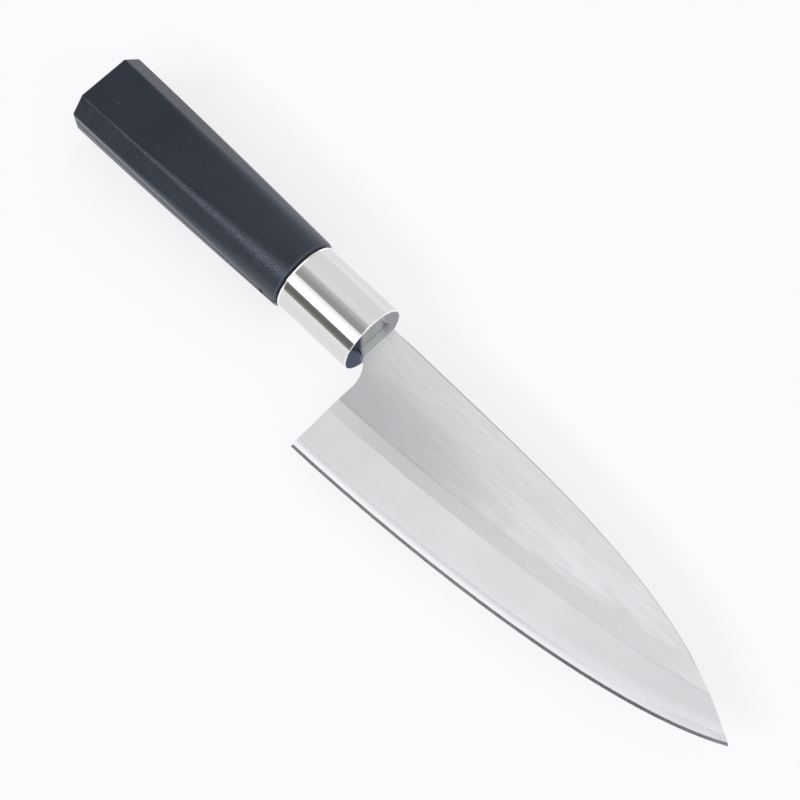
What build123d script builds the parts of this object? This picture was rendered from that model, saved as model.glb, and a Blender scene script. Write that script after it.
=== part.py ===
from build123d import *
from math import asin, atan2, cos, radians, sin, sqrt, tan
import os

os.makedirs("parts", exist_ok=True)

# Right-handed deba kitchen knife, lying on its side with the bevelled face up.
# All sizes are in millimetres. While the pieces are made, the origin is the middle of the ferrule's
# front face, on the axis of the handle: +X runs to the tip, +Y to the spine and +Z out of the
# bevelled face. At the end all pieces move together, so that the knife stands on Z = 0 with the
# origin under the middle of its box.

# Blade outline
blade_length = 165.6          # ferrule face to tip
heel_height = 49.6            # spine to cutting edge at the heel
spine_above_axis = 7.05       # spine over the handle's axis at the neck
heel_setback = 6.9            # ferrule face to the heel's corner
choil_setback = 7.3           # ferrule face to the top of the heel's upright edge
choil_radius = 11.3           # ground finger notch between the neck and the heel
choil_drop = 23.05            # spine to where the notch runs into the upright edge
tip_height_share = 0.536      # tip over the heel's corner, of the heel height

# The two long outline curves are cubics. Their middle points are shares of the blade length along
# X and of the heel height across, counted from the heel's corner and from the start of the spine.
edge_handle_shares = ((0.272, 0.016), (0.785, 0.129))
spine_handle_shares = ((0.483, -0.017), (0.755, 0.0165))

# Blade section
blade_thickness = 4.2         # stock at the neck
tip_stock_thickness = 3.3     # stock at the tip, before the bevel is ground
bevel_width = 21.3            # cutting edge to the line where the bevel starts
koba_width = 0.85             # steep strip at the very edge
koba_angle = 40.0             # degrees
polish_width = 2.3            # polished strip above it
polish_angle = 22.0           # degrees
edge_land = 0.12              # blunt thickness left at the edge
spine_chamfer = 0.35          # eased corner along the spine, bevelled side
bevel_stations = 9            # sections that guide the bevel
bevel_reach_share = 1.25      # the cutter reaches this far across, of the bevel's width
guide_past_ends_share = 0.06  # and this far past both ends of the edge, of its length

# Hollow ground into the flat back
hollow_wheel_radius = 600.0
hollow_rim_edge = 3.2         # flat rim left along the cutting edge
hollow_rim_spine = 3.6        # flat rim left along the spine
hollow_heel_margin = 2.6      # flat rim left at the heel
hollow_tip_margin = 15.0      # flat rim left at the tip
hollow_stations = 11
hollow_end_share = 0.25       # first and last section, in steps from the hollow's ends
hollow_fade_power = 6         # how late the hollow narrows towards its ends

# Neck and tang, one piece with the blade
neck_length = 2.9             # ferrule face to the shoulder of the blade
neck_height = 12.1
neck_step = 0.45              # the neck's upper side lies this far under the spine
neck_face_step = 0.15         # and this far under each face of the blade
tang_length = 88.0            # ferrule face to the end of the tang
tang_end_height = 6.5
tang_parallel_length = 6.0    # stretch behind the ferrule face that keeps the neck's height
tang_end_bevel = 1.6

# Ferrule, a drawn stainless cup
ferrule_length = 31.0
ferrule_radius = 12.3
ferrule_wall = 0.8
ferrule_end_wall = 1.0
ferrule_front_chamfer = 0.35
ferrule_rear_chamfer = 0.22
slot_side_clearance = 0.20    # between the neck and the slot
slot_end_clearance = 0.15     # at the edge end of the slot
slot_spine_clearance = 0.55   # at its spine end, where a small dark gap shows

# Moulded handle
handle_length = 94.6          # ferrule to butt, the part that shows
butt_height = 29.3            # along Y
butt_thickness = 21.3         # along Z
butt_chamfer_across = 5.2     # corner facets, along Y
butt_chamfer_deep = 6.0       # corner facets, along Z
butt_corner_radius = 0.8      # between facets, at the butt
butt_edge_chamfer = 0.4
handle_front_radius = 13.2    # the facets have died out into this circle at the ferrule
handle_nose_radius = 1.3      # the front end rolls down to the ferrule
handle_nose_step = 0.12       # the rolled end stands this far proud of the ferrule
handle_nose_cones = 4         # the roll is turned as a few short cones
front_flat_share = 0.03       # what is left of the facets' flats at the front
swell_power_share = 1.5       # the section stays near the butt's shape for longer than in a cone
handle_stations = 9
spigot_clearance = 0.10       # adhesive film between the spigot and the ferrule
gate_mark_radius = 1.1        # moulding gate on the underside
gate_mark_setback = 6.4       # behind the ferrule
gate_mark_depth = 0.22
gate_nub_radius = 0.45

# Tang bedding, cured in the handle's socket
bedding_cover_height = 0.8    # around the neck, each side, along Y
bedding_cover_side = 0.7      # along Z
bedding_behind_tang = 2.5
socket_end_draft = 0.35       # the socket narrows by this on each side at its far end

# One overrun for cutters that pass through a surface, and a short one for the shallow hollow
overrun = 2.0
hollow_overrun = 0.2

# Derived places
spine_y = spine_above_axis
heel_y = spine_y - heel_height
tip_y = heel_y + tip_height_share * heel_height
back_z = -blade_thickness / 2
neck_top = spine_y - neck_step
neck_bottom = neck_top - neck_height
neck_half = blade_thickness / 2 - neck_face_step
handle_back = -ferrule_length - handle_length
stock_taper = (blade_thickness - tip_stock_thickness) / blade_length

heel_corner = Vector(heel_setback, heel_y)
tip_point = Vector(blade_length, tip_y)
spine_start = Vector(neck_length, spine_y)


def from_corner(corner, shares):
    """A point of an outline curve, from its shares of the blade length and the heel height."""
    along, across = shares
    return Vector(along * blade_length, corner.Y + across * heel_height)


edge_points = [heel_corner] + [from_corner(heel_corner, s) for s in edge_handle_shares] + [tip_point]
spine_points = [spine_start] + [from_corner(spine_start, s) for s in spine_handle_shares] + [tip_point]


def on_cubic(points, u):
    """A point of the cubic through its four control points, also a little past its ends."""
    a, b, c, d = points
    v = 1 - u
    return a * v**3 + b * (3 * v * v * u) + c * (3 * v * u * u) + d * u**3


def cubic_direction(points, u):
    a, b, c, d = points
    v = 1 - u
    return ((b - a) * (v * v) + (c - b) * (2 * v * u) + (d - c) * (u * u)).normalized()


def cubic_height(points, x):
    """Y of the cubic at a given X, found by halving."""
    low, high = 0.0, 1.0
    for _ in range(40):
        middle = (low + high) / 2
        if on_cubic(points, middle).X < x:
            low = middle
        else:
            high = middle
    return on_cubic(points, low).Y


def stock_thickness(x):
    """The blade's stock thins evenly from the neck to the tip."""
    return blade_thickness - stock_taper * x


def box_between(low, high):
    """A box from its lowest to its highest corner."""
    size = [b - a for a, b in zip(low, high)]
    return Pos(*low) * Box(*size, align=(Align.MIN, Align.MIN, Align.MIN))


# Blade with its tang
def blade_outline():
    """Outline of blade, neck and tang, seen on the bevelled face."""
    notch_y = spine_y - choil_drop
    notch_centre = Vector(choil_setback - choil_radius, notch_y)
    notch_end = Vector(choil_setback, notch_y)
    rise = neck_bottom - notch_y
    notch_start = Vector(notch_centre.X + sqrt(choil_radius**2 - rise**2), neck_bottom)
    half_turn = asin(rise / choil_radius) / 2
    notch_middle = notch_centre + Vector(cos(half_turn), sin(half_turn)) * choil_radius
    tang_middle = (neck_top + neck_bottom) / 2
    tang_low = tang_middle - tang_end_height / 2
    tang_high = tang_middle + tang_end_height / 2
    tang = Polyline(
        notch_start,
        (-tang_parallel_length, neck_bottom),
        (-tang_length + tang_end_bevel, tang_low),
        (-tang_length, tang_low + tang_end_bevel),
        (-tang_length, tang_high - tang_end_bevel),
        (-tang_length + tang_end_bevel, tang_high),
        (-tang_parallel_length, neck_top),
        (neck_length, neck_top),
        spine_start,
    )
    spine = Bezier(*spine_points)
    cutting_edge = Bezier(*reversed(edge_points))
    heel = Line(heel_corner, notch_end)
    notch = ThreePointArc(notch_end, notch_middle, notch_start)
    return make_face([tang, spine, cutting_edge, heel, notch])


def bevel_cutter():
    """Everything above the bevel: koba, polished strip and wide bevel, guided along the cutting edge."""
    reach = bevel_width * bevel_reach_share
    top = blade_thickness + overrun
    koba_top = edge_land + koba_width * tan(radians(koba_angle))
    polish_top = koba_top + polish_width * tan(radians(polish_angle))
    polish_end = koba_width + polish_width
    sections = []
    for i in range(bevel_stations):
        u = -guide_past_ends_share + (1 + 2 * guide_past_ends_share) * i / (bevel_stations - 1)
        place = on_cubic(edge_points, u)
        along = cubic_direction(edge_points, u)
        inward = Vector(-along.Y, along.X)
        stock = stock_thickness((place + inward * bevel_width).X)
        slope = (stock - polish_top) / (bevel_width - polish_end)
        plane = Plane(origin=place + Vector(0, 0, back_z), x_dir=inward, z_dir=along)
        profile = Polyline(
            (-overrun, edge_land - overrun * tan(radians(koba_angle))),
            (koba_width, koba_top),
            (polish_end, polish_top),
            (reach, polish_top + slope * (reach - polish_end)),
            (reach, top),
            (-overrun, top),
            close=True,
        )
        sections.append(plane * make_face(profile))
    return loft(sections)


def face_taper_cutter():
    """Everything above the flat face, which falls evenly from the neck to the tip."""
    far = blade_length + overrun
    near = -tang_length - overrun
    top = back_z + blade_thickness + overrun
    profile = Polyline(
        (0, back_z + blade_thickness),
        (far, back_z + stock_thickness(far)),
        (far, top),
        (near, top),
        (near, back_z + blade_thickness),
        close=True,
    )
    return extrude(Plane.XZ * make_face(profile), amount=heel_height, both=True)


def hollow_cutter():
    """The shallow hollow in the back: arcs of one wheel, their chords inside the flat rims."""
    first = heel_setback + hollow_heel_margin
    last = blade_length - hollow_tip_margin
    sections = []
    for i in range(hollow_stations):
        s = (i + hollow_end_share) / (hollow_stations - 1 + 2 * hollow_end_share)
        x = first + (last - first) * s
        low = cubic_height(edge_points, x) + hollow_rim_edge
        high = cubic_height(spine_points, x) - hollow_rim_spine
        fade = sqrt(1 - (2 * s - 1) ** hollow_fade_power)
        half_chord = (high - low) / 2 * fade
        depth = hollow_wheel_radius - sqrt(hollow_wheel_radius**2 - half_chord**2)
        sunk = depth + hollow_overrun
        half_base = sqrt(hollow_wheel_radius**2 - (hollow_wheel_radius - sunk) ** 2)
        middle = (low + high) / 2
        base_z = back_z - hollow_overrun
        ends = (Vector(x, middle - half_base, base_z), Vector(x, middle + half_base, base_z))
        arc = ThreePointArc(ends[0], Vector(x, middle, back_z + depth), ends[1])
        chord = Line(ends[1], ends[0])
        sections.append(make_face([arc, chord]))
    return loft(sections)


def is_on_spine(point):
    """True for a point of the spine's outline above the flat back."""
    beside = point.Y - cubic_height(spine_points, point.X)
    return abs(beside) < edge_land and point.X > neck_length / 2 and point.Z > back_z + edge_land


def make_blade():
    stock = Pos(0, 0, back_z) * extrude(blade_outline(), amount=blade_thickness)
    far = heel_height + overrun
    for side in (1, -1):
        low_z, high_z = sorted((side * neck_half, side * (neck_half + overrun)))
        stock -= box_between((-tang_length - overrun, -far, low_z), (neck_length, far, high_z))
    stock -= face_taper_cutter()
    stock -= bevel_cutter()
    along_spine = [e for e in stock.edges() if e.length > blade_thickness * 2]
    along_spine = [e for e in along_spine if is_on_spine(e @ 0) and is_on_spine(e @ 1)]
    stock = chamfer(along_spine, spine_chamfer)
    stock -= hollow_cutter()
    return stock


blade = make_blade()


# Ferrule
def make_ferrule():
    outside = Cylinder(ferrule_radius, ferrule_length, align=(Align.CENTER, Align.CENTER, Align.MAX))
    inside_length = ferrule_length - ferrule_end_wall
    inside = Cylinder(
        ferrule_radius - ferrule_wall,
        inside_length + overrun,
        align=(Align.CENTER, Align.CENTER, Align.MAX),
    )
    outside = chamfer(outside.edges().group_by(Axis.Z)[-1], ferrule_front_chamfer)
    outside = chamfer(outside.edges().group_by(Axis.Z)[0], ferrule_rear_chamfer)
    cup = outside - Pos(0, 0, -ferrule_end_wall) * inside
    cup = Rot(0, 90, 0) * cup
    slot = box_between(
        (-ferrule_end_wall - overrun, neck_bottom - slot_end_clearance, -neck_half - slot_side_clearance),
        (overrun, neck_top + slot_spine_clearance, neck_half + slot_side_clearance),
    )
    return cup - slot


ferrule = make_ferrule()


# Handle
def facet_section(fade):
    """Points of the handle's section at one station: eight flats joined by eight arcs.

    A fade of 0 is the butt's octagon, and 1 is the circle at the ferrule. Each facet keeps its
    direction, and its distance from the axis and the corner radius change evenly with the fade.
    """
    half_y = butt_height / 2
    half_z = butt_thickness / 2
    slant = atan2(butt_chamfer_across, butt_chamfer_deep)
    slant_distance = half_y * cos(slant) + (half_z - butt_chamfer_deep) * sin(slant)
    quarter = [(0.0, half_y), (slant, slant_distance), (radians(90), half_z)]
    half = quarter + [(radians(180) - a, d) for a, d in reversed(quarter[1:2])]
    facets = half + [(a + radians(180), d) for a, d in half]
    end_radius = handle_front_radius * (1 - front_flat_share)
    corner = butt_corner_radius + (end_radius - butt_corner_radius) * fade
    lines = [(a, d + (handle_front_radius - d) * fade - corner) for a, d in facets]
    centres = []
    for (a0, d0), (a1, d1) in zip(lines, lines[1:] + lines[:1]):
        turn = sin(a1 - a0)
        centres.append(((d0 * sin(a1) - d1 * sin(a0)) / turn, (d1 * cos(a0) - d0 * cos(a1)) / turn))
    return facets, centres, corner


def handle_section(x, fade):
    """The face of one section of the handle."""
    facets, centres, corner = facet_section(fade)
    angles = [a for a, _ in facets] + [facets[0][0] + radians(360)]
    pieces = []
    for i, (y, z) in enumerate(centres):
        start, end = angles[i], angles[i + 1]
        around = (start, (start + end) / 2, end)
        p = [Vector(x, y + corner * cos(a), z + corner * sin(a)) for a in around]
        following = centres[(i + 1) % len(centres)]
        q = Vector(x, following[0] + corner * cos(end), following[1] + corner * sin(end))
        pieces.append(ThreePointArc(*p))
        pieces.append(Line(p[2], q))
    return make_face(pieces)


def handle_blank():
    sections = []
    for i in range(handle_stations):
        s = i / (handle_stations - 1)
        x = handle_back + handle_length * s
        sections.append(handle_section(x, s**swell_power_share))
    return loft(sections, ruled=True)


def make_handle():
    blank = handle_blank()
    butt = blank.faces().sort_by(Axis.X)[0]
    blank = chamfer(butt.edges(), butt_edge_chamfer)
    nose_bottom = ferrule_radius + handle_nose_step
    nose_centre = handle_front_radius - handle_nose_radius
    nose_run = sqrt(handle_nose_radius**2 - (nose_bottom - nose_centre) ** 2)
    nose_start = -ferrule_length - nose_run
    first_turn = atan2(nose_bottom - nose_centre, nose_run)
    nose = []
    for i in range(handle_nose_cones + 1):
        turn = first_turn + (radians(90) - first_turn) * i / handle_nose_cones
        along = nose_start + handle_nose_radius * cos(turn)
        nose.append((along, nose_centre + handle_nose_radius * sin(turn)))
    turned = make_face(
        Polyline(
            (-ferrule_length, 0),
            *nose,
            (nose_start, butt_height),
            (handle_back - overrun, butt_height),
            (handle_back - overrun, 0),
            close=True,
        )
    )
    body = blank & revolve(turned, Axis.X)
    spigot_radius = ferrule_radius - ferrule_wall - spigot_clearance
    spigot = Rot(0, 90, 0) * Cylinder(
        spigot_radius,
        ferrule_length - ferrule_end_wall + overrun,
        align=(Align.CENTER, Align.CENTER, Align.MAX),
    )
    body += Pos(-ferrule_end_wall, 0, 0) * spigot
    body -= socket_shape()
    gate_x = -ferrule_length - gate_mark_setback
    gate = Cylinder(gate_mark_radius, gate_mark_depth + overrun) - Cylinder(gate_nub_radius, overrun * 3)
    gate_y = -handle_front_radius - overrun / 2 + gate_mark_depth / 2
    body -= Pos(gate_x, gate_y, 0) * Rot(90, 0, 0) * gate
    return body


def socket_shape():
    """The socket for the tang, a little narrower at its far end."""
    front = -ferrule_end_wall
    back = -tang_length - bedding_behind_tang
    height = neck_height + 2 * bedding_cover_height
    thick = 2 * (neck_half + bedding_cover_side)
    middle = (neck_top + neck_bottom) / 2
    sections = []
    for x, shrink in ((front, 0), (back, 2 * socket_end_draft)):
        plane = Plane(origin=(x, middle, 0), x_dir=(0, 1, 0), z_dir=(1, 0, 0))
        sections.append(plane * Rectangle(height - shrink, thick - shrink))
    return loft(sections, ruled=True)


handle = make_handle()

# Tang bedding
tang_bedding = socket_shape() - blade

nodes = {
    "blade": blade,
    "ferrule": ferrule,
    "handle": handle,
    "tang_bedding": tang_bedding,
}

# The knife's box gives the shift that puts the origin under its middle
boxes = [shape.bounding_box() for shape in nodes.values()]
low_x, high_x = min(b.min.X for b in boxes), max(b.max.X for b in boxes)
low_y, high_y = min(b.min.Y for b in boxes), max(b.max.Y for b in boxes)
low_z = min(b.min.Z for b in boxes)
to_frame = Pos(-(low_x + high_x) / 2, -(low_y + high_y) / 2, -low_z)

for name, shape in nodes.items():
    export_step(to_frame * shape, f"parts/{name}.step")
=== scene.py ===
from math import atan2, cos, pi, radians, sin, sqrt, tan

import bmesh
import bpy
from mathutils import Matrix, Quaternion, Vector


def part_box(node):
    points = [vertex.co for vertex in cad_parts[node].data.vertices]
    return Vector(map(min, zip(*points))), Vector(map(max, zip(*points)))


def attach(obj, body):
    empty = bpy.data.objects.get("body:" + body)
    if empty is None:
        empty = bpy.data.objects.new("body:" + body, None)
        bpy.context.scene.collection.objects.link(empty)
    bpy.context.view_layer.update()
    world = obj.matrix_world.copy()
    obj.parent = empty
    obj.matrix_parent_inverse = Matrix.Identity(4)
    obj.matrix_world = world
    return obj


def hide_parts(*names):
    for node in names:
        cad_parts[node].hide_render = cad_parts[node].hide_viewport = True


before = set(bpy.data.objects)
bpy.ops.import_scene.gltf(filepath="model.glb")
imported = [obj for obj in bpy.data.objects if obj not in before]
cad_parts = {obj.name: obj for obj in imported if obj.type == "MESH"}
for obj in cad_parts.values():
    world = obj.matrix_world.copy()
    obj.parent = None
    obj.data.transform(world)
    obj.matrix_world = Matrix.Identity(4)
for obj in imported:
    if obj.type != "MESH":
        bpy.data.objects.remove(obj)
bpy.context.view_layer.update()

# Blade
# A right-handed single-bevel deba blade of stainless cutlery steel, one piece with its hidden tang.
# It is forged, its flat is brushed lengthwise and its bevel ground on a wheel, and a polished strip
# and a steep, narrow koba finish the edge. The back is hollow ground inside a flat polished rim.
MM = 0.001
BLADE_LENGTH = 165.6          # ferrule to tip
BACK_FROM_AXIS = -2.1         # height of the flat back, from the handle's axis
STOCK_AT_NECK = 4.2
STOCK_AT_TIP = 3.3
NECK_LENGTH = 2.9
SHOULDER_LINE = 0.4           # the shoulder's edge catches the light over this width
SPINE_CHAMFER = 0.45
BEVEL_WIDTH = 21.3            # cutting edge to the shinogi, the ridge where the bevel meets the flat
RIDGE_SOFTNESS = 1.2          # the bevel's finish runs into the flat's over this width
KOBA_TOP = 0.833              # heights over the back where the koba and the polished strip end
POLISH_TOP = 1.762
POLISH_END = 3.15             # cutting edge to the top of the polished strip
STRIP_GLOW = 5.0              # the satin is brighter within this distance of the strip
SHINOGI_AT_HEEL = -21.2       # height of the shinogi over the handle's axis, behind its curve
SHINOGI_CURVE_FROM = 20.0     # from here it rises with the square of the distance
SHINOGI_CURVE = 0.00118
HAZE_LOW = 15.8               # cutting edge to the foot of the hazy band under the shinogi
HAZE_DROP = 3.6               # the band's foot comes this much nearer to the edge at the tip
HAZE_DROP_STRETCH = (60.0, 152.0)
HAZE_DROP_POWER = 3.0         # slowly at first, then faster
HAZE_WANDER = 0.5             # and it strays this far from an even line
FOOT_LINE_HALF_WIDTH = 0.4

# Each pair below is where one coat of colour starts and where it is full, in millimetres; the coats of
# painted shade, highlight and reflection are marked.
# These are from the ferrule, towards the tip.
HEEL_SHADE = (100.0, 0.0)
# Painted dark reflections along the shinogi: one towards the heel, one fainter and longer.
NEAR_DARK_REFLECTION = (100.0, 15.0)
LONG_DARK_REFLECTION = (165.0, 100.0)
WARM_END = (45.0, 85.0)
# A painted pale reflection on the shinogi
PALE_REFLECTION_START = (45.0, 85.0)
PALE_REFLECTION_END = (132.0, 108.0)
HAZE_DIM = (80.0, 45.0)
HAZE_BRIGHT = (30.0, 8.0)
HAZE_LOST = (132.0, 152.0)
SATIN_DIM = (60.0, 160.0)
# The koba darkens towards the tip over this stretch, a painted dark reflection; the haze's foot line
# shows more over it too.
EDGE_DIM = (60.0, 150.0)
POLISH_DIM = (90.0, 140.0)
POLISH_BRIGHT = (150.0, 164.0)
# The painted dark reflection on the spine's chamfer grows paler over these, towards the tip and at the
# neck.
SPINE_BRIGHT = (40.0, 120.0)
SPINE_BRIGHT_AT_NECK = (12.0, 4.0)
NECK_SHADE = (NECK_LENGTH + 0.1, NECK_LENGTH - 0.1)
SHOULDER_START = (NECK_LENGTH, NECK_LENGTH + 0.05)
SHOULDER_STOP = (NECK_LENGTH + SHOULDER_LINE, NECK_LENGTH + 0.1)
# These are from the shinogi, towards the spine.
NEAR_DARK_REFLECTION_OVER = (28.0, 5.0)
LONG_DARK_REFLECTION_OVER = (20.0, 0.0)
WARM_OVER = (8.0, 16.0)
PALE_REFLECTION_OVER = (0.5, 4.0)
PALE_REFLECTION_UNDER = (15.0, 5.0)
# These are heights over the back.
HOLLOW_RIM = (0.004, 0.03)
KOBA_LINE = (KOBA_TOP - 0.05, KOBA_TOP + 0.04)
POLISH_SHADE = (KOBA_TOP + 0.2, POLISH_TOP)
POLISH_LINE = (POLISH_TOP - 0.01, POLISH_TOP + 0.03)
POLISH_DULLS = (POLISH_TOP - 0.14, POLISH_TOP + 0.03)
# One is across the haze's foot, and one is down from the top of the spine.
HAZE_LINE = (-0.3, 0.3)
SPINE_LINE = (SPINE_CHAMFER, SPINE_CHAMFER - 0.05)
# These are of the normal's height: the back looks down, the ends sideways, the front up.
LOOKS_SIDEWAYS = (-0.8, -0.6)
LOOKS_UP = (0.3, 0.5)
LEANS_OUT = (0.9, 0.8)

ferrule_low, ferrule_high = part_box("ferrule")
ferrule_middle = (ferrule_low + ferrule_high) / 2
ORIGIN = Vector((ferrule_high.x, ferrule_middle.y, ferrule_middle.z))


def linear(hexadecimal):
    """An sRGB hex colour as linear red, green, blue and alpha."""
    channels = [int(hexadecimal[i:i + 2], 16) / 255 for i in (1, 3, 5)]
    return [c / 12.92 if c <= 0.04045 else ((c + 0.055) / 1.055)**2.4 for c in channels] + [1.0]


def add(tree, kind, sockets=(), out=0, **settings):
    """Adds one node with its settings, its sockets set or linked, and gives back one of its outputs."""
    made = tree.nodes.new(kind)
    for name, value in settings.items():
        setattr(made, name, value)
    pairs = sockets.items() if isinstance(sockets, dict) else enumerate(sockets)
    for key, value in pairs:
        if isinstance(value, bpy.types.NodeSocket):
            tree.links.new(value, made.inputs[key])
        else:
            made.inputs[key].default_value = value
    return made.outputs[out] if made.outputs else made


def new_finish(name):
    """An empty node material for one finish, and its tree."""
    made = bpy.data.materials.new(name)
    made.use_nodes = True
    made.node_tree.nodes.clear()
    return made, made.node_tree


def place_in_mm(tree):
    """The point in millimetres from the middle of the ferrule's front face."""
    point = add(tree, "ShaderNodeTexCoord", out="Object")
    moved = add(tree, "ShaderNodeVectorMath", [point, ORIGIN], operation="SUBTRACT")
    return add(tree, "ShaderNodeVectorMath", {0: moved, "Scale": 1 / MM}, operation="SCALE")


def drawn_lines(tree, place, along, across, seed, detail=4.0):
    """The lines that brushing leaves along X, so many millimetres long and wide, from 0 to 1."""
    mapping = {"Location": (seed, seed, seed), "Scale": (1 / along, 1 / across, 1 / across)}
    stretched = add(tree, "ShaderNodeMapping", {"Vector": place, **mapping})
    texture = {"Vector": stretched, "Scale": 1.0, "Detail": detail, "Roughness": 0.6}
    noise = add(tree, "ShaderNodeTexNoise", texture)
    return add(tree, "ShaderNodeMapRange", [noise, 0.3, 0.7, 0.0, 1.0])


def clouds(tree, place, size, seed, detail=2.0):
    """Soft patches of a size in millimetres, from 0 to 1."""
    moved = add(tree, "ShaderNodeVectorMath", [place, (seed, seed, seed)], operation="ADD")
    noise = add(tree, "ShaderNodeTexNoise", {"Vector": moved, "Scale": 1 / size, "Detail": detail})
    return add(tree, "ShaderNodeMapRange", [noise, 0.3, 0.7, 0.0, 1.0])


def coat(tree, under, over, pattern, low=0.0, high=1.0, most=1.0):
    """Colour over laid on colour under, more of it as the pattern goes from low to high."""
    limits = [pattern, low, high, 0.0, most]
    share = add(tree, "ShaderNodeMapRange", limits, interpolation_type="SMOOTHSTEP")
    # A colour mix has its factor in socket 0, its colours in 6 and 7, and its result in output 2.
    return add(tree, "ShaderNodeMix", {0: share, 6: under, 7: over}, 2, data_type="RGBA")


def fading(tree, *stretches, share=1.0):
    """One share from 0 to 1: the product of smooth steps, each a value with where it is 0 and 1."""
    for value, low, high in stretches:
        limits = [value, low, high, 0.0, 1.0]
        step = add(tree, "ShaderNodeMapRange", limits, interpolation_type="SMOOTHSTEP")
        share = add(tree, "ShaderNodeMath", [share, step], operation="MULTIPLY")
    return share


def brushed_flat(tree, place, x, y, lines):
    """Colour of the flat: soft lengthwise streaks, painted shade to the heel, and painted dark and pale
    reflections by the shinogi.
    """
    broad = drawn_lines(tree, place, along=26.0, across=1.8, seed=4.0)
    mist = drawn_lines(tree, place, along=38.0, across=3.4, seed=21.0, detail=2.0)
    past = add(tree, "ShaderNodeMath", [x, SHINOGI_CURVE_FROM], operation="SUBTRACT")
    past = add(tree, "ShaderNodeMath", [past, 0.0], operation="MAXIMUM")
    rise = add(tree, "ShaderNodeMath", [past, past], operation="MULTIPLY")
    ridge = add(tree, "ShaderNodeMath", [rise, SHINOGI_CURVE, SHINOGI_AT_HEEL], operation="MULTIPLY_ADD")
    over_ridge = add(tree, "ShaderNodeMath", [y, ridge], operation="SUBTRACT")

    colour = coat(tree, linear("#e6e6e9"), linear("#f6f7fa"), lines, 0.1, 0.9)
    colour = coat(tree, colour, linear("#8b8d91"), x, *HEEL_SHADE, most=0.2)
    colour = coat(tree, colour, linear("#d6d7da"), broad, 0.2, 0.9, most=0.3)
    warm = fading(tree, (over_ridge, *WARM_OVER), (x, *WARM_END))
    colour = coat(tree, colour, linear("#dcddd9"), warm, most=0.4)
    # Two painted dark reflections along the shinogi, one towards the heel and one fainter and longer
    near_dark_reflection = fading(tree, (over_ridge, *NEAR_DARK_REFLECTION_OVER), (x, *NEAR_DARK_REFLECTION))
    colour = coat(tree, colour, linear("#7d7f84"), near_dark_reflection, most=0.27)
    long_dark_reflection = fading(tree, (over_ridge, *LONG_DARK_REFLECTION_OVER), (x, *LONG_DARK_REFLECTION))
    colour = coat(tree, colour, linear("#8b8d91"), long_dark_reflection, most=0.1)
    # The cloud is a painted pale reflection over the shinogi.
    cloud = fading(tree, (over_ridge, *PALE_REFLECTION_OVER), (over_ridge, *PALE_REFLECTION_UNDER), share=mist)
    cloud = fading(tree, (x, *PALE_REFLECTION_START), (x, *PALE_REFLECTION_END), share=cloud)
    return coat(tree, colour, linear("#fafbff"), cloud, 0.0, 0.9, most=0.6)


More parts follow.
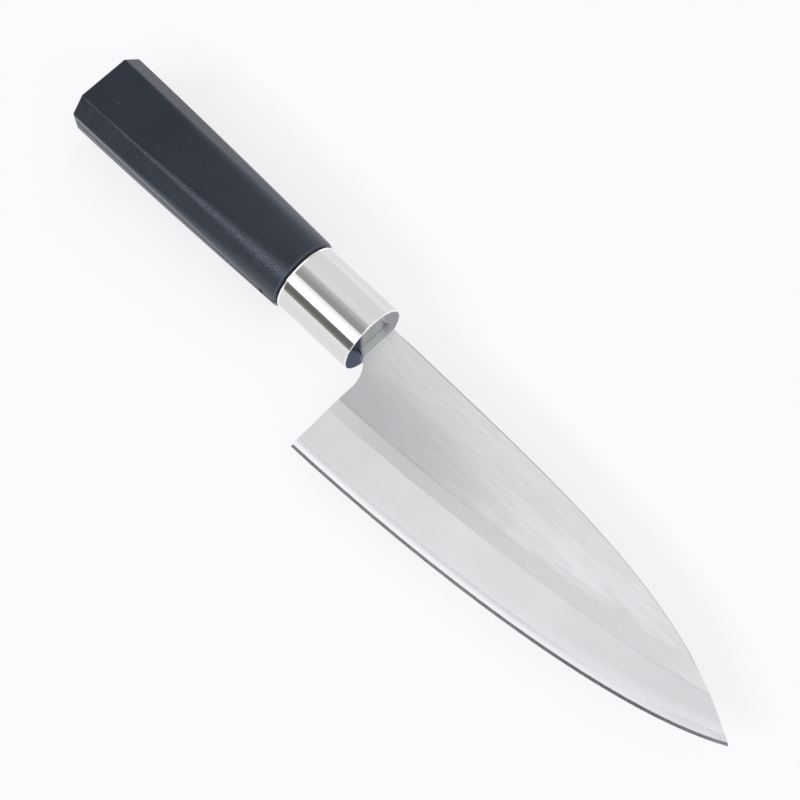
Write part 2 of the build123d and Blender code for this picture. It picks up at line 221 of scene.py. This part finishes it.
def blade_material():
    """Stainless cutlery steel, brushed along the flat and satin ground on the bevel.

    The eye gets soft lengthwise streaks on the flat, with painted shade and reflections on it, a
    slightly darker hazy band under the shinogi, an even pale satin on the bevel, and a bright strip over
    the koba at the edge, whose darkening towards the tip is a painted dark reflection.
    """
    made, tree = new_finish("stainless_cutlery_steel_brushed_and_ground")
    place = place_in_mm(tree)
    x, y, z = add(tree, "ShaderNodeSeparateXYZ", [place]).node.outputs
    normal = add(tree, "ShaderNodeNewGeometry", out="True Normal")
    up = add(tree, "ShaderNodeSeparateXYZ", [normal], 2)
    # Brushing leaves lines about 0.05 mm wide; they are drawn at 0.3 mm so that they show in the
    # render, and the haze's grain, really as fine, is drawn at 0.9 mm.
    lines = drawn_lines(tree, place, along=11.0, across=0.3, seed=7.0, detail=5.0)
    grain = clouds(tree, place, size=0.9, seed=0.0, detail=4.0)
    soft = clouds(tree, place, size=16.0, seed=9.0)

    # On the bevel, the height over the back says how far from the cutting edge a point lies.
    height = add(tree, "ShaderNodeMath", [z, BACK_FROM_AXIS], operation="SUBTRACT")
    taper = (STOCK_AT_TIP - STOCK_AT_NECK) / BLADE_LENGTH
    stock = add(tree, "ShaderNodeMath", [x, taper, STOCK_AT_NECK], operation="MULTIPLY_ADD")
    climbed = add(tree, "ShaderNodeMath", [height, POLISH_TOP], operation="SUBTRACT")
    climb = add(tree, "ShaderNodeMath", [stock, POLISH_TOP], operation="SUBTRACT")
    share = add(tree, "ShaderNodeMath", [climbed, climb], operation="DIVIDE")
    run = BEVEL_WIDTH - POLISH_END
    inward = add(tree, "ShaderNodeMath", [share, run, POLISH_END], operation="MULTIPLY_ADD")

    # The hazy band's foot
    near_tip = add(tree, "ShaderNodeMapRange", [x, *HAZE_DROP_STRETCH, 0.0, 1.0])
    near_tip = add(tree, "ShaderNodeMath", [near_tip, HAZE_DROP_POWER], operation="POWER")
    foot = add(tree, "ShaderNodeMath", [near_tip, -HAZE_DROP, HAZE_LOW], operation="MULTIPLY_ADD")
    wander = drawn_lines(tree, place, along=26.0, across=9.0, seed=0.0, detail=2.0)
    foot = add(tree, "ShaderNodeMath", [wander, HAZE_WANDER, foot], operation="MULTIPLY_ADD")
    over_foot = add(tree, "ShaderNodeMath", [inward, foot], operation="SUBTRACT")
    off_foot = add(tree, "ShaderNodeMath", [over_foot], operation="ABSOLUTE")
    foot_line = fading(tree, (off_foot, FOOT_LINE_HALF_WIDTH, 0.0), (x, *EDGE_DIM))

    # The four finishes of the front, from the flat down to the edge
    flat = brushed_flat(tree, place, x, y, lines)
    haze = coat(tree, linear("#e0e0e4"), linear("#e5e5e9"), grain, 0.1, 0.9)
    haze = coat(tree, haze, linear("#d3d4d8"), x, *HAZE_DIM, most=0.25)
    haze = coat(tree, haze, linear("#f4f4f7"), x, *HAZE_BRIGHT, most=0.5)
    haze = coat(tree, haze, flat, x, *HAZE_LOST)
    satin = coat(tree, linear("#f0f0f4"), linear("#f5f5f9"), soft)
    satin = coat(tree, satin, linear("#d6d6da"), x, *SATIN_DIM, most=0.68)
    satin = coat(tree, satin, linear("#fafaff"), inward, POLISH_END + STRIP_GLOW, POLISH_END, most=0.5)
    polish = coat(tree, linear("#e3e3e7"), linear("#c6c6ca"), height, *POLISH_SHADE)
    polish = coat(tree, polish, linear("#dedee2"), x, *POLISH_DIM, most=0.85)
    polish = coat(tree, polish, linear("#fafaff"), x, *POLISH_BRIGHT, most=0.8)
    # The koba darkens towards the tip: a painted dark reflection.
    koba = coat(tree, linear("#e6e7e9"), linear("#a6aab1"), x, *EDGE_DIM)

    front = coat(tree, koba, polish, height, *KOBA_LINE)
    front = coat(tree, front, satin, height, *POLISH_LINE)
    front = coat(tree, front, haze, over_foot, *HAZE_LINE)
    front = coat(tree, front, linear("#8f9093"), foot_line, most=0.2)
    front = coat(tree, front, flat, inward, BEVEL_WIDTH - RIDGE_SOFTNESS, BEVEL_WIDTH)

    # Painted shade on the neck, a painted highlight on the shoulder's edge, and a painted dark
    # reflection on the chamfer along the spine
    front = coat(tree, front, linear("#b9bcbf"), x, *NECK_SHADE, most=0.8)
    shoulder = fading(tree, (x, *SHOULDER_START), (x, *SHOULDER_STOP))
    front = coat(tree, front, linear("#fdfdff"), shoulder, most=0.8)
    under_top = add(tree, "ShaderNodeMath", [stock, height], operation="SUBTRACT")
    chamfered = fading(tree, (up, *LEANS_OUT), (under_top, *SPINE_LINE))
    # A painted dark reflection on the chamfer, paler towards the tip and at the neck
    spine_reflection = coat(tree, linear("#6c6f6e"), linear("#b9bbb9"), x, *SPINE_BRIGHT)
    spine_reflection = coat(tree, spine_reflection, linear("#dcdddc"), x, *SPINE_BRIGHT_AT_NECK)
    front = coat(tree, front, spine_reflection, chamfered, most=0.9)

    # The hollow of the back is duller than its rim, and the ends are left as ground.
    hollow = coat(tree, flat, linear("#c9cacd"), height, *HOLLOW_RIM, most=0.7)
    ends = coat(tree, linear("#a5a6a8"), linear("#c6c6c8"), lines)
    colour = coat(tree, hollow, ends, up, *LOOKS_SIDEWAYS)
    colour = coat(tree, colour, front, up, *LOOKS_UP)

    rough = add(tree, "ShaderNodeMapRange", [height, *POLISH_DULLS, 0.11, 0.33])
    rough = add(tree, "ShaderNodeMath", [lines, 0.06, rough], operation="MULTIPLY_ADD")
    bump = add(tree, "ShaderNodeBump", {"Height": lines, "Strength": 0.06, "Distance": 0.00005})
    shader = {"Base Color": colour, "Metallic": 1.0, "Roughness": rough, "Normal": bump}
    add(tree, "ShaderNodeOutputMaterial", {"Surface": add(tree, "ShaderNodeBsdfPrincipled", shader)})
    return made


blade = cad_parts["blade"]
blade.data.materials.clear()
blade.data.materials.append(blade_material())


# Tang bedding
# A light filler resin, poured round the tang in the handle's socket and cured there.
# Only its front end can be seen, as a dim face at the bottom of the slot.
def bedding_material():
    """Filled epoxy, cast: a dull tan with fine grains of filler."""
    made, tree = new_finish("filled_epoxy_cast")
    place = place_in_mm(tree)
    grains = clouds(tree, place, size=0.4, seed=0.0, detail=5.0)
    colour = coat(tree, linear("#2c2820"), linear("#494236"), grains)
    shader = {"Base Color": colour, "Roughness": 0.7}
    add(tree, "ShaderNodeOutputMaterial", {"Surface": add(tree, "ShaderNodeBsdfPrincipled", shader)})
    return made


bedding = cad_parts["tang_bedding"]
bedding.data.materials.clear()
bedding.data.materials.append(bedding_material())


# Ferrule
# A cup drawn from thin stainless sheet and polished, with a slot punched in its end for the neck.
# Its front lip and its rear edge are rounded, and it is bonded over the handle's spigot.
FERRULE_LENGTH = (ferrule_high.x - ferrule_low.x) / MM
FERRULE_RADIUS = (ferrule_high.y - ferrule_low.y) / 2 / MM
FERRULE_WALL = 0.8
FERRULE_END_WALL = 1.0
FERRULE_CREASE = 32           # folds sharper than this many degrees stay sharp
TURNED_SEGMENTS = 160
LIP_RADIUS = 0.45
LIP_STEPS = 8
REAR_SETBACK = 0.25           # leaves a thin dark gap between the ferrule and the handle's nose
REAR_EDGE_RADIUS = 0.15
REAR_EDGE_STEPS = 6
REAR_RIM_HEIGHT = 0.2         # the rolled rim at the rear stands this much proud
REAR_RIM_SLOPE = 40.0         # and runs down at this angle into a fine groove
REAR_RIM_LENGTH = 0.5         # the rim carries a painted highlight over this length
REAR_GROOVE_DEPTH = 0.08
REAR_GROOVE_LENGTH = 0.7
SLOT_HALF_THICKNESS = 2.15
SLOT_LOW = -5.65
SLOT_HIGH = 7.15
BRIGHT_EDGE_SOFTNESS = 0.1    # how sharply the painted highlights on the rim and lip end
LOOKS_AHEAD = (0.97, 0.995)   # X of the normal, at the edge of the pressed end face
GREY_SIDE = (3.5, 6.0)        # across the end face, from the axis towards the spine: a painted grey reflection
BLUE_SIDE = (-3.5, -6.0)      # and towards the cutting edge: a painted dark blue reflection


def rounded(centre, radius, start, end, steps):
    """Points of an arc in the plane of X and the distance from the axis; angles in degrees."""
    turns = [radians(start + (end - start) * i / steps) for i in range(steps + 1)]
    return [(centre[0] + radius * cos(t), centre[1] + radius * sin(t)) for t in turns]


def into_scene(work, name):
    """Puts a mesh made in millimetres about the ferrule's face into the scene, in metres."""
    bmesh.ops.recalc_face_normals(work, faces=work.faces)
    for vertex in work.verts:
        vertex.co = ORIGIN + vertex.co * MM
    mesh = bpy.data.meshes.new(name)
    work.to_mesh(mesh)
    work.free()
    made = bpy.data.objects.new(name, mesh)
    bpy.context.scene.collection.objects.link(made)
    return made


def joined(work, rings):
    """Faces between each ring of points and the next; a ring of one point closes an end."""
    rows = [[work.verts.new(point) for point in ring] for ring in rings]
    count = max(len(row) for row in rows)
    for a, b in zip(rows, rows[1:]):
        for i in range(count):
            corners = [a[i % len(a)], a[(i + 1) % len(a)], b[(i + 1) % len(b)], b[i % len(b)]]
            work.faces.new(list(dict.fromkeys(corners)))
    return rows


def turned_rings(profile, segments):
    """A ring of points about the handle's axis for each X and radius."""
    turns = [2 * pi * i / segments for i in range(segments)]
    return [[(x, r * cos(t), r * sin(t)) for t in turns] if r else [(x, 0, 0)] for x, r in profile]


def cut(target, cutter):
    """Takes the cutter out of the target for good."""
    tool = target.modifiers.new("cut", "BOOLEAN")
    tool.operation = "DIFFERENCE"
    tool.solver = "EXACT"
    tool.object = cutter
    bpy.context.view_layer.update()
    shown = target.evaluated_get(bpy.context.evaluated_depsgraph_get())
    mesh = bpy.data.meshes.new_from_object(shown)
    target.modifiers.clear()
    target.data = mesh
    bpy.data.objects.remove(cutter)


def smooth(target, crease):
    """Smooth faces, folds over an angle kept sharp, and normals that follow the large faces."""
    target.data.shade_smooth()
    target.data.set_sharp_from_angle(angle=radians(crease))
    even = target.modifiers.new("even_normals", "WEIGHTED_NORMAL")
    even.keep_sharp = True


def ferrule_mesh():
    """The cup turned from one closed profile, inside, rear edge, rim, groove and lip, then slotted."""
    inner = FERRULE_RADIUS - FERRULE_WALL
    rim = FERRULE_RADIUS + REAR_RIM_HEIGHT
    back = -FERRULE_LENGTH + REAR_SETBACK
    rear_centre = (back + REAR_EDGE_RADIUS, rim - REAR_EDGE_RADIUS)
    rear = rounded(rear_centre, REAR_EDGE_RADIUS, 180, 90 - REAR_RIM_SLOPE, REAR_EDGE_STEPS)
    groove = FERRULE_RADIUS - REAR_GROOVE_DEPTH
    rear.append((rear[-1][0] + (rear[-1][1] - groove) / tan(radians(REAR_RIM_SLOPE)), groove))
    rear.append((rear[-1][0] + REAR_GROOVE_LENGTH, FERRULE_RADIUS))
    lip = rounded((-LIP_RADIUS, FERRULE_RADIUS - LIP_RADIUS), LIP_RADIUS, 90, 0, LIP_STEPS)
    inside = [(-FERRULE_END_WALL, 0), (-FERRULE_END_WALL, inner), (back, inner)]
    cup = bmesh.new()
    joined(cup, turned_rings(inside + rear + lip + [(0, 0)], TURNED_SEGMENTS))
    made = into_scene(cup, "polished_ferrule")

    punch = bmesh.new()
    corners = ((SLOT_LOW, -SLOT_HALF_THICKNESS), (SLOT_HIGH, -SLOT_HALF_THICKNESS),
               (SLOT_HIGH, SLOT_HALF_THICKNESS), (SLOT_LOW, SLOT_HALF_THICKNESS))
    ends = [[(x, y, z) for y, z in corners] for x in (-2 * FERRULE_END_WALL, FERRULE_END_WALL)]
    for end in joined(punch, ends):
        punch.faces.new(end)
    cut(made, into_scene(punch, "slot"))
    smooth(made, FERRULE_CREASE)
    return made


def ferrule_material():
    """Stainless sheet, drawn and polished: mirror bands along the axis, and a duller pressed end.

    The rolled rim and the lip carry painted highlights, and the end face carries a painted grey
    reflection on its upper side and a painted dark blue reflection at its lower side.
    """
    made, tree = new_finish("stainless_sheet_drawn_and_polished")
    place = place_in_mm(tree)
    x, across, _ = add(tree, "ShaderNodeSeparateXYZ", [place]).node.outputs
    normal = add(tree, "ShaderNodeNewGeometry", out="True Normal")
    ahead = add(tree, "ShaderNodeSeparateXYZ", [normal], 0)
    # The die's lines are under 0.1 mm wide; they are drawn at 0.35 mm so that they show.
    lines = drawn_lines(tree, place, along=40.0, across=0.35, seed=11.0, detail=5.0)
    broad = drawn_lines(tree, place, along=90.0, across=2.5, seed=3.0, detail=2.0)
    scuffs = clouds(tree, place, size=3.0, seed=5.0, detail=4.0)

    colour = coat(tree, linear("#dad9d7"), linear("#e3e3e3"), lines)
    # Painted highlights: white on the rolled rear rim, pale and warm on the lip.
    rim = REAR_SETBACK - FERRULE_LENGTH + REAR_RIM_LENGTH
    colour = coat(tree, colour, linear("#ffffff"), x, rim + BRIGHT_EDGE_SOFTNESS, rim)
    lip_low = -LIP_RADIUS - BRIGHT_EDGE_SOFTNESS
    lip_high = BRIGHT_EDGE_SOFTNESS - LIP_RADIUS
    colour = coat(tree, colour, linear("#fdfaf7"), x, lip_low, lip_high, most=0.85)
    pressed = coat(tree, linear("#c8cac8"), linear("#d3d5d2"), scuffs, 0.1, 0.9)
    # Painted reflections on the pressed end face: grey towards the spine, dark blue towards the cutting
    # edge.
    pressed = coat(tree, pressed, linear("#70747a"), across, *GREY_SIDE, most=0.95)
    pressed = coat(tree, pressed, linear("#1b2030"), across, *BLUE_SIDE)
    colour = coat(tree, colour, pressed, ahead, *LOOKS_AHEAD)
    # The blue specular tint goes with the painted dark blue reflection.
    blue = fading(tree, (across, *BLUE_SIDE), (ahead, *LOOKS_AHEAD))
    tint = coat(tree, linear("#ffffff"), linear("#d3d9e4"), blue)

    rough = add(tree, "ShaderNodeMapRange", [broad, 0.0, 1.0, 0.03, 0.08])
    rough = add(tree, "ShaderNodeMath", [lines, 0.03, rough], operation="MULTIPLY_ADD")
    bump = add(tree, "ShaderNodeBump", {"Height": lines, "Strength": 0.02, "Distance": 0.00003})
    shader = {"Base Color": colour, "Metallic": 1.0, "Roughness": rough, "Normal": bump,
              "Specular Tint": tint}
    add(tree, "ShaderNodeOutputMaterial", {"Surface": add(tree, "ShaderNodeBsdfPrincipled", shader)})
    return made


ferrule = ferrule_mesh()
ferrule.data.materials.append(ferrule_material())
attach(ferrule, "root")
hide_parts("ferrule")


# Handle
# One injection moulding in dark resin: an octagon at the butt whose facets die out into a round
# at the ferrule. The mould's two halves leave a parting line, and the gate a small round mark.
handle_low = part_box("handle")[0]
HANDLE_LENGTH = (ferrule_low.x - handle_low.x) / MM
BUTT_HEIGHT = 29.3
BUTT_THICKNESS = 21.3
CHAMFER_ACROSS = 5.2
CHAMFER_DEEP = 6.0
BUTT_CORNER_RADIUS = 0.8
BUTT_EDGE_RADIUS = 0.5
FRONT_RADIUS = 13.2
FRONT_FLAT_SHARE = 0.03       # at the front this share of the radius is left to the flats
SWELL_POWER = 1.5             # how late along the handle the octagon turns into the round
NOSE_RADIUS = 1.3
NOSE_STEP = 0.12              # the nose's rounding ends this far outside the ferrule's wall
NOSE_GAP = 0.35               # and this far behind the ferrule's place in the CAD
SPIGOT_CLEARANCE = 0.1
PARTING_HALF_WIDTH = 0.3
PARTING_DEPTH = 0.3
GATE_RADIUS = 1.1
GATE_NUB_RADIUS = 0.45
GATE_DEPTH = 0.22
GATE_SETBACK = 6.4            # from the ferrule's place back to the gate's middle
GATE_SEGMENTS = 32
SOCKET_HALF_HEIGHT = 6.85
SOCKET_HALF_THICKNESS = 2.65
SOCKET_MIDDLE = 0.55          # over the handle's axis
SOCKET_END = -90.5
SOCKET_DRAFT = 0.35           # the socket's walls come in by this much at its end
STATIONS = 72
ARC_STEPS = 8
NOSE_STEPS = 7
EDGE_STEPS = 4
HANDLE_CREASE = 26            # folds sharper than this many degrees stay sharp
SPECK_SPACING = 9.0
SPECK_EDGE_SHARES = (0.04, 0.015)     # of the spacing: where a speck starts and is full
SHEEN_PAINTED_FORWARD = (-115.0, -45.0)      # from the ferrule: paler towards the front, a painted sheen
NOSE_HIGHLIGHT_START = (-0.7, -0.6)        # from the nose's end: a fine painted highlight line
NOSE_HIGHLIGHT_STOP = (-0.45, -0.55)
PARTING_SHADE = (0.44, 0.3)           # off the parting plane: the dull line of painted shade


def handle_ring(fade, inset=0.0):
    """Points (y, z) of one section: eight flats joined by arcs, with a groove at the parting line.

    Fade is 0 for the butt's octagon and 1 for the round at the ferrule; inset draws it all in.
    """
    half_y = BUTT_HEIGHT / 2
    half_z = BUTT_THICKNESS / 2
    slant = atan2(CHAMFER_ACROSS, CHAMFER_DEEP)
    slant_distance = half_y * cos(slant) + (half_z - CHAMFER_DEEP) * sin(slant)
    quarter = [(0.0, half_y), (slant, slant_distance), (pi / 2, half_z), (pi - slant, slant_distance)]
    facets = quarter + [(a + pi, d) for a, d in quarter]
    end_radius = FRONT_RADIUS * (1 - FRONT_FLAT_SHARE)
    corner = BUTT_CORNER_RADIUS + (end_radius - BUTT_CORNER_RADIUS) * fade
    lines = [(a, d + (FRONT_RADIUS - d) * fade - corner) for a, d in facets]
    # Each corner's arc is centred where its two flats, moved in by the corner's radius, cross.
    centres = []
    for (a0, d0), (a1, d1) in zip(lines, lines[1:] + [(lines[0][0] + 2 * pi, lines[0][1])]):
        turn = sin(a1 - a0)
        y = (d0 * sin(a1) - d1 * sin(a0)) / turn
        z = (d1 * cos(a0) - d0 * cos(a1)) / turn
        centres.append(Vector((y, z)))
    corner = corner - inset
    points = []
    for i, centre in enumerate(centres):
        start = facets[i][0]
        end = facets[(i + 1) % 8][0] + (2 * pi if i == 7 else 0)
        for step in range(ARC_STEPS + 1):
            turn = start + (end - start) * step / ARC_STEPS
            points.append(centre + Vector((cos(turn), sin(turn))) * corner)
        following = centres[(i + 1) % 8] + Vector((cos(end), sin(end))) * corner
        middle = (points[-1] + following) / 2
        along = following - points[-1]
        outward = Vector((cos(end), sin(end)))
        # The flats towards the spine and the edge carry the groove, which narrows with them.
        if (i + 1) % 4 == 0:
            half = min(PARTING_HALF_WIDTH, along.length / 3)
            deep = PARTING_DEPTH * half / PARTING_HALF_WIDTH
            points.append(middle - along.normalized() * half)
            points.append(middle - outward * deep)
            points.append(middle + along.normalized() * half)
        else:
            points.append(middle)
    return points


def handle_mesh():
    """One skin from the butt's rounded edge to the nose and the spigot, then down into the socket."""
    back = -FERRULE_LENGTH - HANDLE_LENGTH
    nose_centre = FRONT_RADIUS - NOSE_RADIUS
    nose_bottom = FERRULE_RADIUS + NOSE_STEP
    nose_run = sqrt(NOSE_RADIUS**2 - (nose_bottom - nose_centre)**2) + NOSE_GAP
    rings = []
    for i in range(EDGE_STEPS + 1):
        turn = pi / 2 * i / EDGE_STEPS
        x = back + BUTT_EDGE_RADIUS * (1 - cos(turn))
        rings.append([(x, *p) for p in handle_ring(0.0, BUTT_EDGE_RADIUS * (1 - sin(turn)))])
    for i in range(1, STATIONS + 1):
        x = back + BUTT_EDGE_RADIUS + (HANDLE_LENGTH - BUTT_EDGE_RADIUS - nose_run) * i / STATIONS
        rings.append([(x, *p) for p in handle_ring(((x - back) / HANDLE_LENGTH)**SWELL_POWER)])
    for i in range(1, NOSE_STEPS + 1):
        turn = pi / 2 + (atan2(nose_bottom - nose_centre, nose_run - NOSE_GAP) - pi / 2) * i / NOSE_STEPS
        x = -FERRULE_LENGTH - nose_run + NOSE_RADIUS * cos(turn)
        limit = nose_centre + NOSE_RADIUS * sin(turn)
        ring = handle_ring(((x - back) / HANDLE_LENGTH)**SWELL_POWER)
        rings.append([(x, *(p * min(1.0, limit / p.length))) for p in ring])
    spigot = FERRULE_RADIUS - FERRULE_WALL - SPIGOT_CLEARANCE
    for x in (-FERRULE_LENGTH - NOSE_GAP, -FERRULE_END_WALL):
        rings.append([(x, *(p.normalized() * spigot)) for p in handle_ring(1.0)])
    work = bmesh.new()
    rows = joined(work, rings)
    work.faces.new(rows[0])

    socket = []
    for x, shrink in ((-FERRULE_END_WALL, 0.0), (SOCKET_END, SOCKET_DRAFT)):
        high = SOCKET_HALF_HEIGHT - shrink
        thick = SOCKET_HALF_THICKNESS - shrink
        corners = ((-high, -thick), (high, -thick), (high, thick), (-high, thick))
        socket.append([(x, SOCKET_MIDDLE + y, z) for y, z in corners])
    mouth, bottom = joined(work, socket)
    work.faces.new(bottom)
    rim = [work.edges.get((row[i - 1], row[i])) for row in (rows[-1], mouth) for i in range(len(row))]
    bmesh.ops.triangle_fill(work, edges=rim, use_beauty=True)
    made = into_scene(work, "moulded_handle")
    cut(made, gate_ring())
    smooth(made, HANDLE_CREASE)
    return made


def gate_ring():
    """The ring-shaped recess round the gate's stub, under the handle just behind the ferrule."""
    floor = -FRONT_RADIUS + GATE_DEPTH
    low = floor - GATE_RADIUS
    x = -FERRULE_LENGTH - GATE_SETBACK
    turns = [2 * pi * i / GATE_SEGMENTS for i in range(GATE_SEGMENTS)]
    # The outline ends where it starts, and the doubled points are then made one.
    outline = ((GATE_RADIUS, low), (GATE_RADIUS, floor),
               (GATE_NUB_RADIUS, floor), (GATE_NUB_RADIUS, low), (GATE_RADIUS, low))
    work = bmesh.new()
    joined(work, [[(x + r * cos(t), y, r * sin(t)) for t in turns] for r, y in outline])
    bmesh.ops.remove_doubles(work, verts=work.verts, dist=GATE_DEPTH / 100)
    return into_scene(work, "gate_ring")


def handle_material():
    """Dark resin from a spark-eroded mould: blue-black, with a satin grain and a few pale specks."""
    made, tree = new_finish("moulded_resin_satin_grain")
    place = place_in_mm(tree)
    x, _, z = add(tree, "ShaderNodeSeparateXYZ", [place]).node.outputs
    # The real grain is about 0.1 mm; it is drawn at 0.3 mm so that it shows in the render.
    grain = clouds(tree, place, size=0.3, seed=0.0, detail=2.0)
    broad = clouds(tree, place, size=14.0, seed=6.0)
    scatter = {"Vector": place, "Scale": 1 / SPECK_SPACING, "Randomness": 1.0}
    specks = add(tree, "ShaderNodeTexVoronoi", scatter)

    colour = coat(tree, linear("#15181f"), linear("#1a1e25"), broad)
    colour = coat(tree, colour, linear("#1d222c"), grain, 0.5, 1.0, most=0.5)
    colour = coat(tree, colour, linear("#6b707b"), specks, *SPECK_EDGE_SHARES, most=0.6)
    # Paler towards the front: a painted sheen
    colour = coat(tree, colour, linear("#2b3039"), x, *SHEEN_PAINTED_FORWARD, most=0.45)
    from_nose = add(tree, "ShaderNodeMath", [x, FERRULE_LENGTH + NOSE_GAP], operation="ADD")
    # A fine painted highlight line just behind the nose's end
    nose_highlight = fading(tree, (from_nose, *NOSE_HIGHLIGHT_START), (from_nose, *NOSE_HIGHLIGHT_STOP))
    colour = coat(tree, colour, linear("#7a8290"), nose_highlight, most=0.5)
    off_parting = add(tree, "ShaderNodeMath", [z], operation="ABSOLUTE")
    # The black along the parting plane is painted shade.
    colour = coat(tree, colour, linear("#020203"), off_parting, *PARTING_SHADE)

    rough = add(tree, "ShaderNodeMapRange", [grain, 0.0, 1.0, 0.2, 0.36])
    dull = fading(tree, (off_parting, *PARTING_SHADE))
    rough = add(tree, "ShaderNodeMath", [rough, dull], operation="ADD", use_clamp=True)
    bump = add(tree, "ShaderNodeBump", {"Height": grain, "Strength": 0.5, "Distance": 0.00008})
    shader = {"Base Color": colour, "Roughness": rough, "Normal": bump, "IOR": 1.52,
              "Specular Tint": linear("#d8e4fd"), "Sheen Weight": 0.12, "Sheen Roughness": 0.35,
              "Sheen Tint": linear("#adbff5")}
    add(tree, "ShaderNodeOutputMaterial", {"Surface": add(tree, "ShaderNodeBsdfPrincipled", shader)})
    return made


handle = handle_mesh()
handle.data.materials.append(handle_material())
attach(handle, "root")
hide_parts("handle")


# Studio
# A pale table under the knife, a long softbox on the edge side, a bright wall on the spine side,
# a dimmer ceiling straight above and a dark gap between the softbox and the table.
# The knife mirrors all this, but the camera itself sees only an even pale room.
FLOOR_HALF_SIZE = 4.0
STUDIO_STRENGTH = 8.0
# Brightness by the angle from straight up towards the spine side, in degrees, with its share of blue
STUDIO_BANDS = (
    (-180, 1.0, 1.0), (-90.5, 1.0, 1.0),
    (-89.9, 0.18, 0.9), (-88.8, 0.32, 0.86), (-83, 0.28, 0.86),
    (-80.5, 0.19, 0.94), (-72.5, 0.17, 0.94), (-62.3, 0.2, 0.98),
    (-60.4, 1.3, 1.0), (-58.5, 1.5, 1.0), (-56.5, 7.5, 1.0), (-50, 7.0, 1.0),
    (-43, 1.6, 1.01), (-36, 1.22, 1.01), (-27, 1.05, 1.01),
    (-25, 0.38, 0.95), (-12, 0.41, 0.94), (5, 0.62, 0.97),
    (12, 0.92, 0.99), (30, 0.93, 1.0), (50, 0.89, 1.0), (75, 0.92, 1.0),
    (89, 1.0, 1.0), (91, 1.0, 1.0), (180, 1.0, 1.0),
)
# The dim part of the ceiling lies over the handle; towards the tip it opens into the bright
# ceiling, between these angles and over this stretch of the direction's X.
OPENING_FROM = (-12.0, 0.0)
OPENING_TO = (14.0, 8.0)
OPENING_STRETCH = (-0.30, -0.12)
OPEN_LEVEL = 1.05
# The walls beyond the butt and the tip are grey, each from one X of the direction to another,
# and a bright screen stands far beyond the tip.
WALL_LEVEL = 0.55
BACK_WALL = (-0.56, -0.66)
FRONT_WALL = (0.42, 0.55)
SCREEN_LEVEL = 1.4
SCREEN = (0.74, 0.82)


def studio_light():
    """The world's light, painted by direction."""
    world = bpy.data.worlds.new("studio")
    world.use_nodes = True
    tree = world.node_tree
    tree.nodes.clear()
    direction = add(tree, "ShaderNodeTexCoord", out="Generated")
    x, y, z = add(tree, "ShaderNodeSeparateXYZ", [direction]).node.outputs
    turn = add(tree, "ShaderNodeMath", [y, z], operation="ARCTAN2")
    share = add(tree, "ShaderNodeMath", [turn, 1 / (2 * pi), 0.5], operation="MULTIPLY_ADD")
    bands = add(tree, "ShaderNodeValToRGB", [share])
    stops = bands.node.color_ramp.elements
    for i, (angle, value, blue) in enumerate(STUDIO_BANDS):
        place = angle / 360 + 0.5
        stop = stops[i] if i < 2 else stops.new(place)
        stop.position = place
        level = value / STUDIO_STRENGTH
        stop.color = (level, level * (1 + blue) / 2, level * blue, 1)
    angle = add(tree, "ShaderNodeMath", [turn, 180 / pi], operation="MULTIPLY")
    opened = fading(tree, (angle, *OPENING_FROM), (angle, *OPENING_TO), (x, *OPENING_STRETCH))
    sky = coat(tree, bands, [OPEN_LEVEL / STUDIO_STRENGTH] * 3 + [1.0], opened)
    for level, zone in ((WALL_LEVEL, BACK_WALL), (WALL_LEVEL, FRONT_WALL), (SCREEN_LEVEL, SCREEN)):
        sky = coat(tree, sky, [level / STUDIO_STRENGTH] * 3 + [1.0], x, *zone)
    lit = add(tree, "ShaderNodeBackground", [sky, STUDIO_STRENGTH])
    seen = add(tree, "ShaderNodeBackground", [linear("#fbfbfc"), 1.0])
    is_seen = add(tree, "ShaderNodeLightPath", out="Is Camera Ray")
    mixed = add(tree, "ShaderNodeMixShader", [is_seen, lit, seen])
    add(tree, "ShaderNodeOutputWorld", {"Surface": mixed})
    bpy.context.scene.world = world


def floor_material():
    """White studio card, lit from below as well: almost even, so shadows stay faint."""
    made, tree = new_finish("white_card")
    place = place_in_mm(tree)
    cloud = clouds(tree, place, size=300.0, seed=0.0)
    colour = coat(tree, linear("#79797a"), linear("#7d7d7e"), cloud)
    shader = {"Base Color": colour, "Roughness": 0.9,
              "Emission Color": linear("#fdfcff"), "Emission Strength": 0.76}
    add(tree, "ShaderNodeOutputMaterial", {"Surface": add(tree, "ShaderNodeBsdfPrincipled", shader)})
    return made


bpy.ops.mesh.primitive_plane_add(size=2 * FLOOR_HALF_SIZE, location=(0, 0, 0))
floor = bpy.context.object
floor.name = "table"
floor.data.materials.append(floor_material())
studio_light()
bpy.context.scene.view_settings.view_transform = "Standard"


# Camera
# A long lens above the blade's heel, tipped a little towards the tip and the cutting edge.
# Its place and its aim are in millimetres from the middle of the ferrule's front face.
CAMERA_PLACE = (172.6, -156.3, 573.2)
CAMERA_AIM = (20.5, -8.1, 0.0)
CAMERA_ROLL = -0.66
CAMERA_LENS = 87.75
SENSOR_WIDTH = 36.0

lens = bpy.data.cameras.new("camera")
lens.lens = CAMERA_LENS
lens.sensor_width = SENSOR_WIDTH
camera = bpy.data.objects.new("camera", lens)
bpy.context.scene.collection.objects.link(camera)
camera.location = ORIGIN + Vector(CAMERA_PLACE) * MM
facing = (Vector(CAMERA_AIM) - Vector(CAMERA_PLACE)).to_track_quat("-Z", "Y")
camera.rotation_mode = "QUATERNION"
camera.rotation_quaternion = facing @ Quaternion((0, 0, 1), radians(CAMERA_ROLL))
bpy.context.scene.camera = camera
